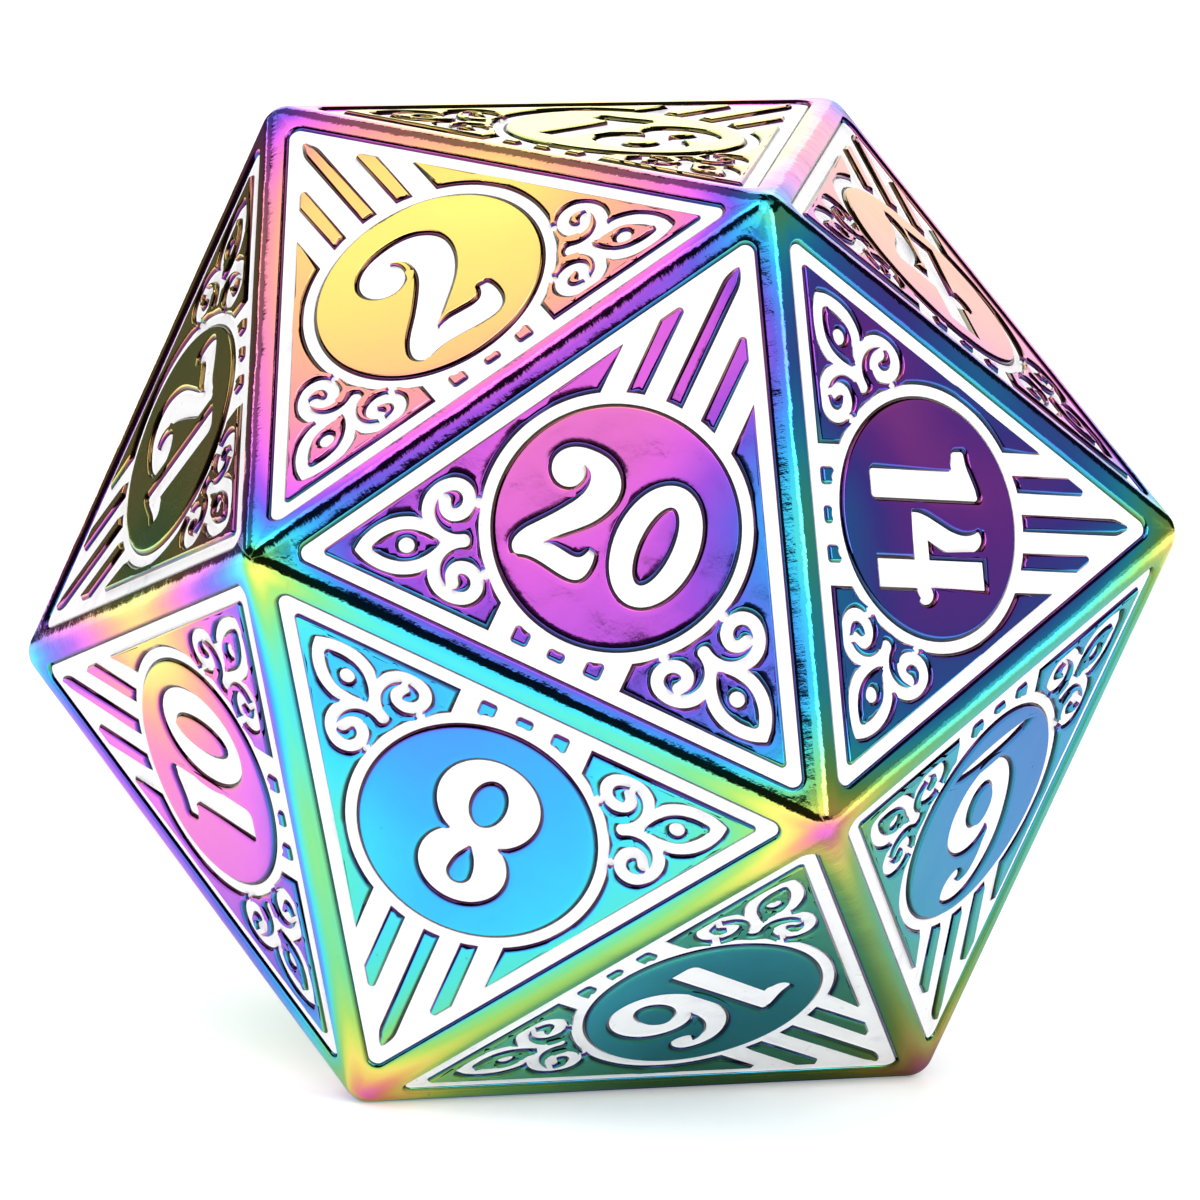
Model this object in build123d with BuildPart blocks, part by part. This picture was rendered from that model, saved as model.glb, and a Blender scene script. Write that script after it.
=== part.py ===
from build123d import *
import math
import os

# A cast-metal twenty-sided die. Every face has a recessed ornament and a recessed numeral, and
# both are filled with white enamel that stops a little below the metal. Millimetres, +Z up, the
# origin at the die's centre. The 18 faces up and the die rests on the 3.

# Driving dimensions
FACE_TO_FACE = 20.0
RIDGE_RADIUS = 0.6
POCKET_DEPTH = 0.45
ENAMEL_BELOW_METAL = 0.12

BORDER_FROM_RIDGE = 0.48
BORDER_WIDTH = 0.28
STROKE = 0.26
MEDALLION_RADIUS = 2.60
RING_RADIUS = 2.83
BAR_WIDTH = 0.38
BAR_PITCH = 0.82
MIDDLE_BAR_SHOULDER = 5.55
MIDDLE_BAR_TIP = 6.02
MIDDLE_BAR_BULGE = 0.05
SIDE_BAR_END = 4.32
RAY_FIELD_HALF_WIDTH = 1.48
SMALL_RADIUS = 0.09
BLANK_MARGIN = 1.1

# Proportions of the icosahedron
GOLDEN = (1 + math.sqrt(5)) / 2
INRADIUS = FACE_TO_FACE / 2
EDGE = INRADIUS * 2 * math.sqrt(3) / GOLDEN**2
FACE_APOTHEM = EDGE / (2 * math.sqrt(3))
CIRCUMRADIUS = EDGE * math.sqrt(GOLDEN * math.sqrt(5)) / 2
BORDER_APOTHEM = FACE_APOTHEM - BORDER_FROM_RIDGE
FIELD_APOTHEM = BORDER_APOTHEM - BORDER_WIDTH

# The twelve corners stand in four layers of three: (distance from the Z axis, height)
TOP = (2 * FACE_APOTHEM, INRADIUS)
UPPER = (2 * FACE_APOTHEM * GOLDEN, FACE_APOTHEM * (GOLDEN - 1))
LOWER = (UPPER[0], -UPPER[1])
BOTTOM = (TOP[0], -TOP[1])
CORNERS = {
    "A": (TOP, 180),
    "B": (TOP, 300),
    "I": (TOP, 60),
    "C": (UPPER, 240),
    "E": (UPPER, 0),
    "K": (UPPER, 120),
    "D": (LOWER, 300),
    "J": (LOWER, 60),
    "F": (LOWER, 180),
    "G": (BOTTOM, 240),
    "H": (BOTTOM, 0),
    "L": (BOTTOM, 120),
}
OPPOSITE = dict(zip("ABCDEFGHIJKL", "HLJKFEIAGCDB"))

# Each number's three corners, the one that its bars point to first. The opposite face holds
# 21 minus the number.
HALF_THE_FACES = {
    20: "BCD",
    2: "ABC",
    14: "EBD",
    8: "GCD",
    12: "FAC",
    10: "FCG",
    16: "HDG",
    6: "HDE",
    18: "IAB",
    4: "IBE",
}


def corner_point(letter):
    (radius, height), angle = CORNERS[letter]
    return Vector(radius, 0, height).rotate(Axis.Z, angle)


def face_plane(corners):
    """The plane of a face: origin at its middle, +Y towards its first corner, +Z outwards."""
    points = [corner_point(letter) for letter in corners]
    middle = (points[0] + points[1] + points[2]) / 3
    outward = middle.normalized()
    return Plane(middle, x_dir=(points[0] - middle).cross(outward), z_dir=outward)


planes = {}
for number, corners in HALF_THE_FACES.items():
    planes[number] = face_plane(corners)
    planes[21 - number] = face_plane([OPPOSITE[letter] for letter in corners])


# The ornament in the two lower corners of a face. It is drawn along +X, from the middle of the
# face towards the corner: a stem, two scrolls that curl outwards, and an almond with an eye.
STEM_START = 3.02
SCROLL_X = 3.21
SCROLL_RADII = (0.62, 0.57, 0.31, 0.33, 0.19)
EYE_BACK = 3.62
EYE_TIP = 5.08
EYE_HALF_WIDTH = 0.335
EYE_MIDDLE = (EYE_BACK + EYE_TIP) / 2
EYE_ARC = ((EYE_TIP - EYE_BACK) ** 2 / 4 + EYE_HALF_WIDTH**2) / (2 * EYE_HALF_WIDTH)
EYE_ARC_Y = EYE_HALF_WIDTH - EYE_ARC
ALMOND_ARC = EYE_ARC + STROKE
ALMOND_START = 3.76
DOT_X = 4.33
DOT_RADIUS = 0.16
TIE_ANGLE = 15.1
TIE_RADIUS = 0.11
LOWER_CORNER_ANGLES = (-30, -150)


def almond_height(x):
    """Half the almond's outer width at x."""
    return EYE_ARC_Y + math.sqrt(ALMOND_ARC**2 - (x - EYE_MIDDLE) ** 2)


def scroll_lines(side):
    """The middle line of one scroll, as edges: quarter turns of shrinking radius from the stem."""
    with BuildLine() as line:
        at = Vector(SCROLL_X, 0)
        heading = Vector(1, 0)
        Line((STEM_START + STROKE / 2, 0), at)
        for radius in SCROLL_RADII:
            turned = heading.rotate(Axis.Z, 90 * side)
            end = at + (heading + turned) * radius
            TangentArc(at, end, tangent=heading)
            at, heading = end, turned
        Line(at, at + heading * STROKE / 2)
    return line.edges()


with BuildSketch() as eye:
    with BuildLine():
        ThreePointArc((EYE_BACK, 0), (EYE_MIDDLE, EYE_HALF_WIDTH), (EYE_TIP, 0))
        ThreePointArc((EYE_TIP, 0), (EYE_MIDDLE, -EYE_HALF_WIDTH), (EYE_BACK, 0))
    make_face()
    fillet(eye.vertices(), SMALL_RADIUS)

with BuildSketch() as ornament:
    for side in (1, -1):
        lines = scroll_lines(side)
        SlotArc(Wire(lines[:5]), STROKE)
        SlotArc(Wire(lines[5:]), STROKE)
        tie = Vector(RING_RADIUS + TIE_RADIUS / 3, 0)
        with Locations(tie.rotate(Axis.Z, side * TIE_ANGLE)):
            Circle(TIE_RADIUS)
    with BuildLine():
        tip = EYE_MIDDLE + math.sqrt(ALMOND_ARC**2 - EYE_ARC_Y**2)
        start = (ALMOND_START, almond_height(ALMOND_START))
        middle = (EYE_MIDDLE, almond_height(EYE_MIDDLE))
        upper = ThreePointArc(start, middle, (tip, 0))
        lower = mirror(upper, about=Plane.XZ)
        Line(upper @ 0, lower @ 0)
    make_face()
    add(eye.sketch, mode=Mode.SUBTRACT)
    fillet(ornament.vertices().sort_by(Axis.X)[-1:], SMALL_RADIUS / 2)


def corner_triangle(apothem, radius):
    """A triangle about the origin with a corner towards +Y and rounded corners."""
    with BuildSketch() as sketch:
        RegularPolygon(radius=2 * apothem, side_count=3, rotation=90)
        fillet(sketch.vertices(), radius)
    return sketch.sketch


def on_ring(x):
    """The point at x on the upper half of the ring's outer edge."""
    return (x, math.sqrt(RING_RADIUS**2 - x**2))


# The bars that point to the top corner of a face. The side bars end parallel to the border.
with BuildSketch() as bars:
    half = BAR_WIDTH / 2
    with BuildLine():
        for side in (1, -1):
            shoulder = (side * half, MIDDLE_BAR_SHOULDER)
            Line(on_ring(side * half), shoulder)
            SagittaArc(shoulder, (0, MIDDLE_BAR_TIP), side * -MIDDLE_BAR_BULGE)
        ThreePointArc(on_ring(half), on_ring(0), on_ring(-half))
    make_face()
    for side in (1, -1):
        inner = side * (BAR_PITCH - half)
        outer = side * (BAR_PITCH + half)
        with BuildLine():
            FilletPolyline(
                on_ring(outer),
                (outer, SIDE_BAR_END),
                (inner, SIDE_BAR_END + BAR_WIDTH * math.sqrt(3)),
                on_ring(inner),
                radius=SMALL_RADIUS,
            )
            ThreePointArc(on_ring(inner), on_ring(side * BAR_PITCH), on_ring(outer))
        make_face()

# The row of small metal squares at the foot of a face, between ring and border
with BuildSketch() as squares:
    for x in (-BAR_PITCH, 0, BAR_PITCH):
        with Locations((x, -RING_RADIUS)):
            Rectangle(BAR_WIDTH, 2 * BAR_WIDTH)
    add(corner_triangle(FIELD_APOTHEM, SMALL_RADIUS), mode=Mode.INTERSECT)
    Circle(RING_RADIUS, mode=Mode.SUBTRACT)
    fillet(squares.vertices(), SMALL_RADIUS)

# The two plain fields left and right of the ring
with BuildSketch() as fields:
    add(corner_triangle(FIELD_APOTHEM, SMALL_RADIUS))
    Rectangle(2 * RAY_FIELD_HALF_WIDTH, 4 * FIELD_APOTHEM, mode=Mode.SUBTRACT)
    Circle(RING_RADIUS, mode=Mode.SUBTRACT)

# Everything on a face that is enamel apart from the numeral
with BuildSketch() as trim:
    add(corner_triangle(BORDER_APOTHEM, 2 * SMALL_RADIUS))
    for metal in (fields, bars, squares):
        add(metal.sketch, mode=Mode.SUBTRACT)
    Circle(MEDALLION_RADIUS, mode=Mode.SUBTRACT)
    for angle in LOWER_CORNER_ANGLES:
        add(ornament.sketch.rotate(Axis.Z, angle))
        with Locations(Vector(DOT_X, 0).rotate(Axis.Z, angle)):
            Circle(DOT_RADIUS)


# The digits. An outline is a closed chain of runs, each a list of points that starts where the
# last one ended: two points are a straight line, more are a smooth curve.
def outline(*runs):
    with BuildSketch() as sketch:
        with BuildLine():
            for run, following in zip(runs, runs[1:] + runs[:1]):
                points = [*run, following[0]]
                if len(points) == 2:
                    Line(points)
                else:
                    Spline(points)
        make_face()
    return sketch.sketch


def digit_0():
    with BuildSketch() as sketch:
        Ellipse(1.16, 1.80)
        Ellipse(0.48, 1.20, mode=Mode.SUBTRACT)
    return sketch.sketch


def digit_1():
    with BuildSketch() as sketch:
        add(
            outline(
                [(0.34, 1.78)],
                [(0.34, -1.82)],
                [(-0.34, -1.82)],
                [(-0.34, 0.86), (-0.58, 0.98)],
                [(-0.82, 1.02)],
                [(-0.84, 1.42), (-0.34, 1.52), (0.10, 1.72)],
            )
        )
        fillet(sketch.vertices(), SMALL_RADIUS)
    return sketch.sketch


def digit_2():
    return outline(
        [(-0.34, 1.22), (-0.20, 0.98), (-0.30, 0.62), (-0.66, 0.46), (-1.06, 0.68), (-1.16, 1.08),
         (-0.90, 1.50), (-0.25, 1.70), (0.42, 1.58), (0.84, 1.12), (0.84, 0.46), (0.42, -0.28),
         (-0.10, -0.80)],
        [(-0.44, -1.24), (0.10, -1.20), (0.56, -1.22)],
        [(0.80, -0.86)],
        [(0.96, -0.90), (1.02, -1.36), (0.86, -1.76), (0.40, -1.84), (-0.30, -1.74)],
        [(-1.02, -1.84), (-1.22, -1.62), (-1.14, -1.20), (-0.72, -0.62), (-0.26, 0.02),
         (0.00, 0.56), (-0.04, 1.04)],
    )


def digit_3():
    return outline(
        [(-0.30, 1.18), (-0.20, 0.92), (-0.34, 0.62), (-0.66, 0.54), (-0.98, 0.78), (-0.98, 1.22),
         (-0.60, 1.64), (0.00, 1.80), (0.64, 1.64), (0.94, 1.14), (0.86, 0.62)],
        [(0.46, 0.22), (0.94, -0.16), (1.08, -0.76), (0.82, -1.38), (0.20, -1.78), (-0.50, -1.72),
         (-1.00, -1.36), (-1.08, -0.88), (-0.82, -0.58), (-0.48, -0.62), (-0.30, -0.90)],
        [(-0.40, -1.16), (-0.10, -1.36), (0.24, -1.22), (0.42, -0.76), (0.26, -0.26)],
        [(-0.26, -0.06)],
        [(-0.26, 0.38), (0.16, 0.52), (0.32, 0.92), (0.16, 1.30), (-0.12, 1.36)],
    )


def digit_4():
    return outline(
        [(-0.75, 1.72), (-0.62, 1.15), (-0.72, 0.72), (-1.00, 0.10)],
        [(-1.14, -0.34)],
        [(-1.14, -0.56)],
        [(0.01, -0.56)],
        [(0.01, -1.82)],
        [(0.68, -1.82)],
        [(0.68, -0.56)],
        [(0.94, -0.56), (1.08, -0.34), (0.98, -0.12)],
        [(0.68, -0.10)],
        [(0.68, 1.72)],
        [(0.01, 1.72)],
        [(0.01, -0.08)],
        [(-0.50, -0.08), (-0.28, 0.36), (-0.12, 1.00), (-0.22, 1.42), (-0.43, 1.72)],
    )


def digit_5():
    return outline(
        [(-0.80, 1.78)],
        [(0.84, 1.78)],
        [(0.90, 1.28)],
        [(-0.34, 1.28)],
        [(-0.40, 0.48), (0.10, 0.66), (0.72, 0.42), (1.06, -0.26), (1.00, -1.02), (0.56, -1.60),
         (-0.10, -1.80), (-0.72, -1.64), (-1.06, -1.20), (-0.96, -0.82), (-0.62, -0.70),
         (-0.34, -0.92)],
        [(-0.42, -1.22), (-0.08, -1.36), (0.26, -1.12), (0.40, -0.52), (0.24, 0.02), (-0.10, 0.16)],
        [(-0.84, -0.08)],
    )


def digit_6():
    with BuildSketch() as sketch:
        add(
            outline(
                [(0.40, 1.24), (0.36, 1.00), (0.64, 0.90), (0.92, 1.12), (0.90, 1.44), (0.58, 1.70),
                 (0.10, 1.76), (-0.46, 1.50), (-0.94, 0.88), (-1.14, -0.02), (-1.06, -0.92),
                 (-0.68, -1.52), (0.00, -1.78), (0.68, -1.56), (1.08, -0.98), (1.08, -0.30),
                 (0.72, 0.26), (0.20, 0.48), (-0.18, 0.42)],
                [(-0.46, 0.18), (-0.42, 0.66), (-0.18, 1.14), (0.16, 1.36)],
            )
        )
        with Locations((0.00, -0.66)):
            Ellipse(0.48, 0.62, mode=Mode.SUBTRACT)
    return sketch.sketch


def digit_7():
    return outline(
        [(-1.00, 1.78)],
        [(1.00, 1.78)],
        [(1.04, 1.30), (0.56, 0.58), (0.30, -0.30), (0.22, -1.20)],
        [(0.22, -1.82)],
        [(-0.50, -1.82), (-0.40, -0.90), (-0.08, 0.10), (0.40, 1.12)],
        [(-0.30, 1.14), (-0.62, 1.08), (-0.76, 0.78)],
        [(-1.00, 0.80)],
    )


def digit_8():
    with BuildSketch() as sketch:
        with Locations((0, 0.93)):
            Ellipse(0.95, 0.89)
        with Locations((0, -0.72)):
            Ellipse(1.11, 1.06)
            Ellipse(0.41, 0.61, mode=Mode.SUBTRACT)
        with BuildLine():
            ThreePointArc((-0.28, 1.10), (0, 1.42), (0.28, 1.10))
            Spline([(0.28, 1.10), (0.20, 0.72), (0.02, 0.44)])
            Line((0.02, 0.44), (-0.02, 0.44))
            Spline([(-0.02, 0.44), (-0.20, 0.72), (-0.28, 1.10)])
        make_face(mode=Mode.SUBTRACT)
    return sketch.sketch


DIGITS = [
    digit_0(),
    digit_1(),
    digit_2(),
    digit_3(),
    digit_4(),
    digit_5(),
    digit_6(),
    digit_7(),
    digit_8(),
    digit_6().rotate(Axis.Z, 180),
]
UNDERLINED = (6, 9)
UNDERLINE_HALF_LENGTH = 1.38
UNDERLINE_HALF_HEIGHT = 0.13
UNDERLINE_Y = -1.74
UNDERLINED_RAISE = 0.45

# How two digits stand beside each other: their scale, and the place of each along X
TEENS = (0.87, -0.72, 0.87)
SPECIAL_PAIRS = {
    11: (0.87, -0.52, 0.66),
    20: (0.74, -0.90, 0.90),
}


def numeral(number):
    """A face's number as a sketch about the middle of the medallion."""
    tens, unit = divmod(number, 10)
    with BuildSketch() as sketch:
        if tens == 0:
            raised = UNDERLINED_RAISE if number in UNDERLINED else 0
            add(DIGITS[unit].moved(Location((0, raised))))
        else:
            size, left, right = SPECIAL_PAIRS.get(number, TEENS)
            for digit, x in ((tens, left), (unit, right)):
                add(DIGITS[digit].scale(size).moved(Location((x, 0))))
        if number in UNDERLINED:
            with BuildLine():
                ends = [(side * UNDERLINE_HALF_LENGTH, UNDERLINE_Y) for side in (-1, 1)]
                ThreePointArc(ends[0], (0, UNDERLINE_Y + UNDERLINE_HALF_HEIGHT), ends[1])
                ThreePointArc(ends[1], (0, UNDERLINE_Y - UNDERLINE_HALF_HEIGHT), ends[0])
            make_face()
    return sketch.sketch


numerals = {number: numeral(number) for number in planes}
os.makedirs("parts", exist_ok=True)

# The casting: an icosahedron with rounded ridges and corners, less the pockets for the enamel
inner_corner = CIRCUMRADIUS * (INRADIUS - RIDGE_RADIUS) / INRADIUS
with BuildPart() as die_body:
    Sphere(inner_corner * BLANK_MARGIN)
    for plane in planes.values():
        split(bisect_by=plane.offset(-RIDGE_RADIUS), keep=Keep.BOTTOM)
    offset(amount=RIDGE_RADIUS, kind=Kind.ARC)
    for number, plane in planes.items():
        with BuildSketch(plane):
            add(trim.sketch)
            add(numerals[number])
    extrude(amount=-POCKET_DEPTH, mode=Mode.SUBTRACT)
die_body.part.label = "die_body"
export_step(die_body.part, "parts/die_body.step")

# The enamel: in each face one filling of the ornament and one of the numeral. Each starts on
# the pocket's floor, fits its walls and stops below the metal.
for number, plane in planes.items():
    fillings = {"trim": trim.sketch, "numeral": numerals[number]}
    for kind, pattern in fillings.items():
        with BuildPart() as enamel:
            with BuildSketch(plane.offset(-POCKET_DEPTH)):
                add(pattern)
            extrude(amount=POCKET_DEPTH - ENAMEL_BELOW_METAL)
        name = f"face_{number:02d}_{kind}_enamel"
        enamel.part.label = name
        export_step(enamel.part, f"parts/{name}.step")
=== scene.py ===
"""A metal twenty-sided die with rainbow plating and white enamel inlay, on a pale studio floor."""

import math
from itertools import combinations

import bpy
import numpy as np
from mathutils import Matrix, Vector
from mathutils.geometry import delaunay_2d_cdt
from mathutils.kdtree import KDTree
from mathutils.noise import noise


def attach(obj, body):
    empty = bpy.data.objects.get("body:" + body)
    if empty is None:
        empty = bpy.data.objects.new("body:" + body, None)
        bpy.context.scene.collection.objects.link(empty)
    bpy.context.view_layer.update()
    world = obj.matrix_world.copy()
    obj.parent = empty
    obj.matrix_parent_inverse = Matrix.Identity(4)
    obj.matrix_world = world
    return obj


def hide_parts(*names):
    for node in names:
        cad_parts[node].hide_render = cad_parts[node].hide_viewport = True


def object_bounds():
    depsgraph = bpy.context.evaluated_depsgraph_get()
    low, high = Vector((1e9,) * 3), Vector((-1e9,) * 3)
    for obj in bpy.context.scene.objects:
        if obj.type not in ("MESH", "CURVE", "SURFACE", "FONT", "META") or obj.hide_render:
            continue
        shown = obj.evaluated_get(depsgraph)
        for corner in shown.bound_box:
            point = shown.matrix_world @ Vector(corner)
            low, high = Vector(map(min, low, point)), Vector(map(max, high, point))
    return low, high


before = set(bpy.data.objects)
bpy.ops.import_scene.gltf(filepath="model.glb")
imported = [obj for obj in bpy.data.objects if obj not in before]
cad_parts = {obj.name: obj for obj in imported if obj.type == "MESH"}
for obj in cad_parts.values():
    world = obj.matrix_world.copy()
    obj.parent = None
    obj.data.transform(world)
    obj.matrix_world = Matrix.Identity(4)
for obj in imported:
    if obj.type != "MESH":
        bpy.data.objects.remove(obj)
cad_low, cad_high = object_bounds()

MM = 0.001

# ---------------------------------------------------------------- the casting
RIDGE_RADIUS = 0.6 * MM
LIP = 0.12 * MM  # rounding where a face turns down into a pocket
LIP_SHARE = 0.75  # the most of the room beside an outline that its lip takes
SHOULDER_SHARE = 0.92  # and that its shoulder takes, where the polished metal falls away slightly
SHOULDER_SLOPE = math.radians(3.2)
SHOULDER_UNEVEN = 0.9  # how much of that slope varies from place to place
SHOULDER_WAVE = 0.8 * MM
ALONG_RIDGE = "along_ridge"  # the mesh attribute that says how far along its ridge a point lies
RIDGE_STEPS_ALONG = 24
RIDGE_STEPS_ROUND = 8
CORNER_RINGS = 4

# ---------------------------------------------------------------- the enamel
MENISCUS_WIDTH = 0.07 * MM
MENISCUS_RISE = 0.03 * MM
MENISCUS_SLOPE = math.radians(30)
BITE = 0.004 * MM  # how far the filling keys into the pocket's wall

# ---------------------------------------------------------------- outlines
CORNER_TURN = math.radians(28)  # a sharper turn than this is a real corner
CHORD_ERROR = 0.002 * MM
MITRE_LIMIT = 1.5
SHORE_SHARE = 0.7  # the most of the room inside an outline that its meniscus takes
PROBE_STEP = 0.05 * MM
PROBE_REACH = 0.25 * MM
GRAZING = 0.02  # the least sideways share of a probe's direction for it to limit the room
WELD = 1e-7  # metres within which points are one
FINE = 0.01 * MM  # the unit in which outlines are filled, small beside their details
FILL_TOLERANCE = 1e-4
UPRIGHT = 0.9  # the z of a normal from which it counts as nearly upright
FACING_UP = 0.9  # the cosine to a filling's middle beyond which a triangle is part of its top
ALMOST_FLAT = 0.1  # the determinant of three normals below which their planes meet too far out
MEETING = 0.001  # the share of a height by which planes that meet may differ
PARALLEL = 0.99  # the cosine beyond which two faces are parallel


# ================================================================ outlines from the frame
def node_mesh(name):
    """A CAD node's points, with those in one place joined, and its triangles."""
    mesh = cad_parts[name].data
    points = np.array([v.co for v in mesh.vertices], float)
    mesh.calc_loop_triangles()
    triangles = np.array([t.vertices for t in mesh.loop_triangles])
    _, first, joined = np.unique(
        np.round(points / WELD).astype(np.int64),
        axis=0,
        return_index=True,
        return_inverse=True,
    )
    return points[first], joined.ravel()[triangles]


def area_vectors(points, triangles):
    """Each triangle's normal, as long as its area."""
    a, b, c = (points[triangles[:, i]] for i in range(3))
    return np.cross(b - a, c - a) / 2


def outward_normal(name):
    """The direction that the top of a filling faces."""
    points, triangles = node_mesh(name)
    areas = area_vectors(points, triangles)
    middle = points.mean(0)
    lengths = np.linalg.norm(areas, axis=1) * np.linalg.norm(middle)
    normal = areas[areas @ middle > FACING_UP * lengths].sum(0)
    return normal / np.linalg.norm(normal)


class FacePlane:
    """One face of the die: its normal, and two axes in its plane."""

    def __init__(self, normal):
        self.normal = normal
        self.across = np.cross(normal, (0, 0, 1) if abs(normal[2]) < UPRIGHT else (1, 0, 0))
        self.across /= np.linalg.norm(self.across)
        self.along = np.cross(normal, self.across)

    def flat(self, points):
        return np.stack([points @ self.across, points @ self.along], axis=1)

    def place(self, flat_points, height):
        heights = np.broadcast_to(height, len(flat_points))[:, None]
        return (
            flat_points[:, :1] * self.across
            + flat_points[:, 1:] * self.along
            + heights * self.normal
        )

    def tilt(self, flat_directions, slope):
        """Normals that lean from the face's normal towards the given directions."""
        sideways = flat_directions[:, :1] * self.across + flat_directions[:, 1:] * self.along
        slope = np.broadcast_to(slope, len(sideways))[:, None]
        return np.cos(slope) * self.normal + np.sin(slope) * sideways


def cap_outlines(name, plane):
    """The closed outlines of a filling's top, with enamel on their left, and its top and bottom levels."""
    points, triangles = node_mesh(name)
    heights = points @ plane.normal
    top, bottom = heights.max(), heights.min()
    on_top = (heights[triangles] > top - 10 * WELD).all(axis=1)
    edges = {
        (int(t[i]), int(t[(i + 1) % 3])) for t in triangles[on_top] for i in range(3)
    }
    follows = {a: b for a, b in edges if (b, a) not in edges}
    flat_points = plane.flat(points)
    outlines = []
    while follows:
        start, at = follows.popitem()
        run = [start]
        while at != start:
            run.append(at)
            at = follows.pop(at)
        outlines.append(flat_points[run])
    return outlines, top, bottom


def signed_area(outline):
    x, y = outline.T
    return (x * np.roll(y, -1) - np.roll(x, -1) * y).sum() / 2


def wrapped(angle):
    return (angle + math.pi) % (2 * math.pi) - math.pi


class Outline:
    """A closed outline with points added along its arcs, and the side direction at each point."""

    def __init__(self, corners):
        step = np.roll(corners, -1, axis=0) - corners
        length = np.hypot(*step.T)
        heading = np.arctan2(step[:, 1], step[:, 0])
        length_before = np.roll(length, 1)
        turn = wrapped(heading - np.roll(heading, 1))
        sharp = np.abs(turn) > CORNER_TURN
        sharp_next = np.roll(sharp, -1)
        leaving = -turn * length_before / (length_before + length)
        arriving = np.roll(turn + leaving, -1)
        leaving, arriving = (
            np.where(sharp, np.where(sharp_next, 0, -arriving), leaving),
            np.where(sharp_next, np.where(sharp, 0, -leaving), arriving),
        )
        bulge = length * (np.abs(leaving) + np.abs(arriving)) / 8
        pieces = np.maximum(1, np.ceil(np.sqrt(bulge / CHORD_ERROR))).astype(int)

        points, left_in, left_out, is_sharp = [], [], [], []
        for i, count in enumerate(pieces):
            t = np.arange(count)[:, None] / count
            start, end = corners[i], corners[(i + 1) % len(corners)]
            out = length[i] * unit(heading[i] + leaving[i])
            back = length[i] * unit(heading[i] + arriving[i])
            points.append(
                (1 + 2 * t) * (1 - t) ** 2 * start
                + t * (1 - t) ** 2 * out
                + t**2 * (3 - 2 * t) * end
                + t**2 * (t - 1) * back
            )
            course = heading[i] + leaving[i] + (arriving[i] - leaving[i]) * t[:, 0]
            before = course.copy()
            if sharp[i]:
                before[0] = heading[i - 1] + arriving[i - 1]
            left_in.append(before + math.pi / 2)
            left_out.append(course + math.pi / 2)
            is_sharp += [bool(sharp[i])] + [False] * (count - 1)
        self.points = np.concatenate(points)
        self.sharp = np.array(is_sharp)
        before, after = (unit(np.concatenate(side)) for side in (left_in, left_out))
        mean = before + after
        self.left = mean / np.hypot(*mean.T)[:, None]
        stretch = 1 / np.maximum((self.left * after).sum(1), 1 / MITRE_LIMIT)
        self.mitre = self.left * stretch[:, None]

    def moved(self, distance):
        """The outline moved to its left by a distance, or to its right by a negative one."""
        return self.points + self.mitre * np.broadcast_to(distance, len(self.points))[:, None]


def unit(angle):
    return np.stack([np.cos(angle), np.sin(angle)], axis=-1)


def dense(outline):
    """An outline's points, with more along its long straight runs."""
    span = np.roll(outline.points, -1, axis=0) - outline.points
    counts = np.ceil(np.hypot(*span.T) / PROBE_STEP).astype(int)
    shares = np.concatenate([np.arange(n) / n for n in counts])[:, None]
    return np.repeat(outline.points, counts, axis=0) + np.repeat(span, counts, axis=0) * shares


def room_beside(outline, probes, side):
    """The radius of the largest circle that touches each point on a side, 1 for left and -1 for right."""
    span = np.hypot(*(np.roll(outline.points, -1, axis=0) - outline.points).T)
    nearest = np.minimum(span, np.roll(span, 1))
    rooms = []
    for place, away, sharp, limit in zip(outline.points, outline.left, outline.sharp, nearest):
        room = min(limit, PROBE_REACH) if sharp else PROBE_REACH
        for probe, _, distance in probes.find_range((*place, 0), PROBE_REACH):
            if distance < 5 * WELD:
                continue
            toward = side * ((probe.x - place[0]) * away[0] + (probe.y - place[1]) * away[1])
            if toward > GRAZING * distance and not (sharp and distance < 2 * LIP):
                room = min(room, distance**2 / (2 * toward))
        rooms.append(room)
    return np.array(rooms)


def inside(points, starts, ends):
    """Which points lie in the area that the given border lines enclose."""
    x, y = points[:, :1], points[:, 1:]
    crosses = (starts[:, 1] > y) != (ends[:, 1] > y)
    rise = np.where(ends[:, 1] == starts[:, 1], 1, ends[:, 1] - starts[:, 1])
    at = starts[:, 0] + (y - starts[:, 1]) / rise * (ends[:, 0] - starts[:, 0])
    return (crosses & (at > x)).sum(axis=1) % 2 == 1


def holds(outer, inner):
    """Whether one outline lies inside another."""
    return inside(inner.points[:1], outer.points, np.roll(outer.points, -1, axis=0))[0]


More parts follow.
